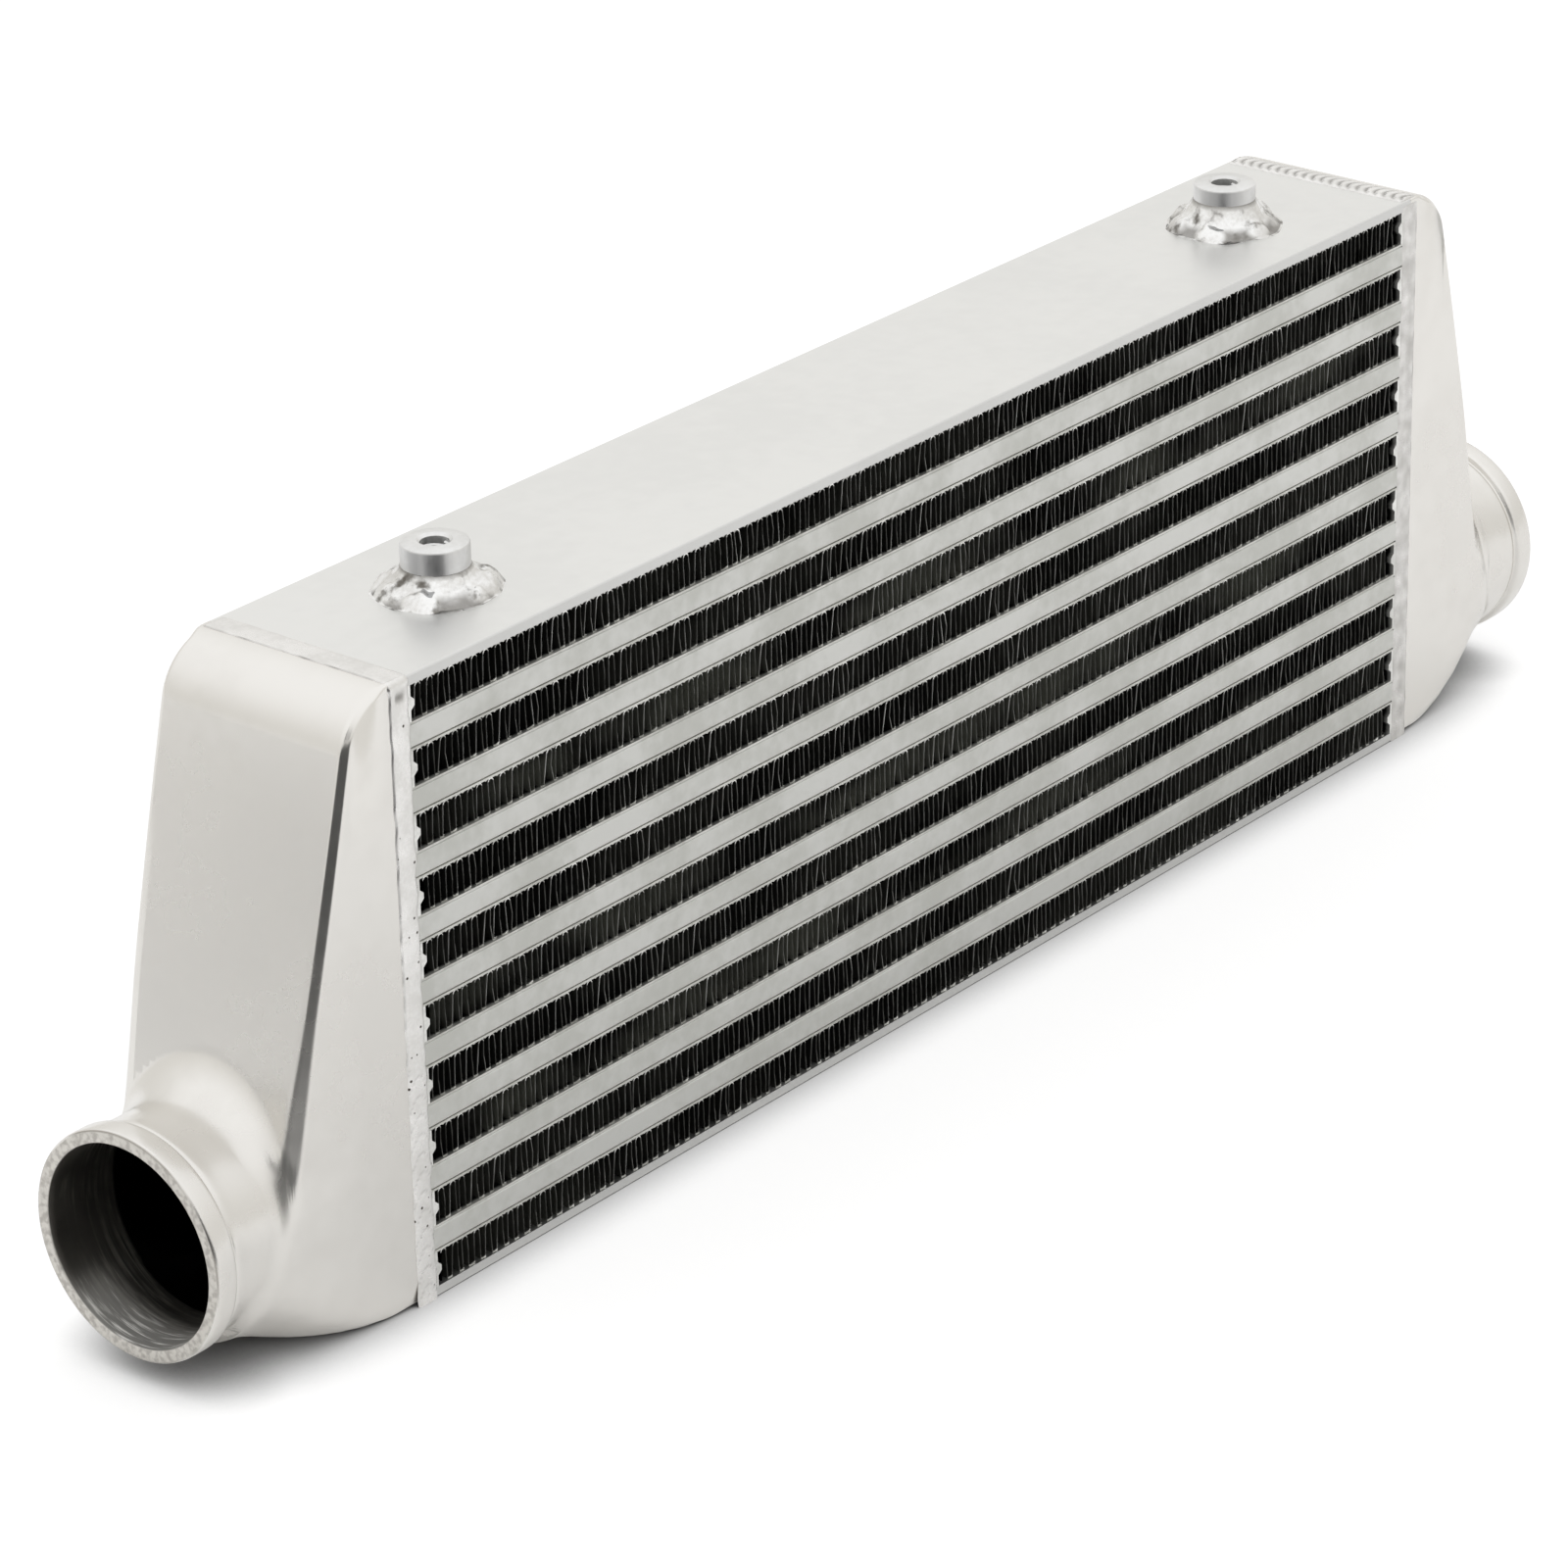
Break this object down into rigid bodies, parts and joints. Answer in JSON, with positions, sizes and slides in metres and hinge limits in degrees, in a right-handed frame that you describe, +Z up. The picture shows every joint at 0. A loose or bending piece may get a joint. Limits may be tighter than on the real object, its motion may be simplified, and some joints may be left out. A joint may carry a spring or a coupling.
{
  "type": "intercooler",
  "caption": "Air-to-air intercooler: bar-and-plate core with corrugated fins between two sloping cast end tanks, each with a beaded hose spigot, and threaded bosses on top.",
  "frame": {"origin": "bottom centre of the core, where it stands", "axes": "+X along the core from the left tank to the right tank as the picture shows them, +Y from the front face to the rear face, +Z up"},
  "size_m": [0.612, 0.068, 0.1938],
  "materials": {
    "cast_tank": "polished casting, satin",
    "cover_plate": "brushed sheet, satin",
    "long_bar": "extruded bar, matt after brazing",
    "end_bar": "extruded bar, matt after brazing",
    "parting_sheet": "clad brazing sheet, matt",
    "ambient_fin": "thin folded strip, dark between the folds",
    "charge_fin": "thin folded strip",
    "turned_boss": "turned bar, satin",
    "weld_metal": "TIG bead, bright and rippled"
  },
  "bodies": {
    "root": {"ambient_fin_01": "ambient_fin", "ambient_fin_02": "ambient_fin", "ambient_fin_03": "ambient_fin", "ambient_fin_04": "ambient_fin", "ambient_fin_05": "ambient_fin", "ambient_fin_06": "ambient_fin", "ambient_fin_07": "ambient_fin", "ambient_fin_08": "ambient_fin", "ambient_fin_09": "ambient_fin", "ambient_fin_10": "ambient_fin", "bottom_cover_plate": "cover_plate", "charge_fin_01": "charge_fin", "charge_fin_02": "charge_fin", "charge_fin_03": "charge_fin", "charge_fin_04": "charge_fin", "charge_fin_05": "charge_fin", "charge_fin_06": "charge_fin", "charge_fin_07": "charge_fin", "charge_fin_08": "charge_fin", "charge_fin_09": "charge_fin", "front_bar_01": "long_bar", "front_bar_02": "long_bar", "front_bar_03": "long_bar", "front_bar_04": "long_bar", "front_bar_05": "long_bar", "front_bar_06": "long_bar", "front_bar_07": "long_bar", "front_bar_08": "long_bar", "front_bar_09": "long_bar", "left_boss": "turned_boss", "left_boss_weld": "weld_metal", "left_end_bars": "end_bar", "left_tank": "cast_tank", "left_tank_weld": "weld_metal", "parting_sheets": "parting_sheet", "rear_bar_01": "long_bar", "rear_bar_02": "long_bar", "rear_bar_03": "long_bar", "rear_bar_04": "long_bar", "rear_bar_05": "long_bar", "rear_bar_06": "long_bar", "rear_bar_07": "long_bar", "rear_bar_08": "long_bar", "rear_bar_09": "long_bar", "right_boss": "turned_boss", "right_boss_weld": "weld_metal", "right_end_bars": "end_bar", "right_tank": "cast_tank", "right_tank_weld": "weld_metal", "top_cover_plate": "cover_plate"}
  },
  "joints": []
}
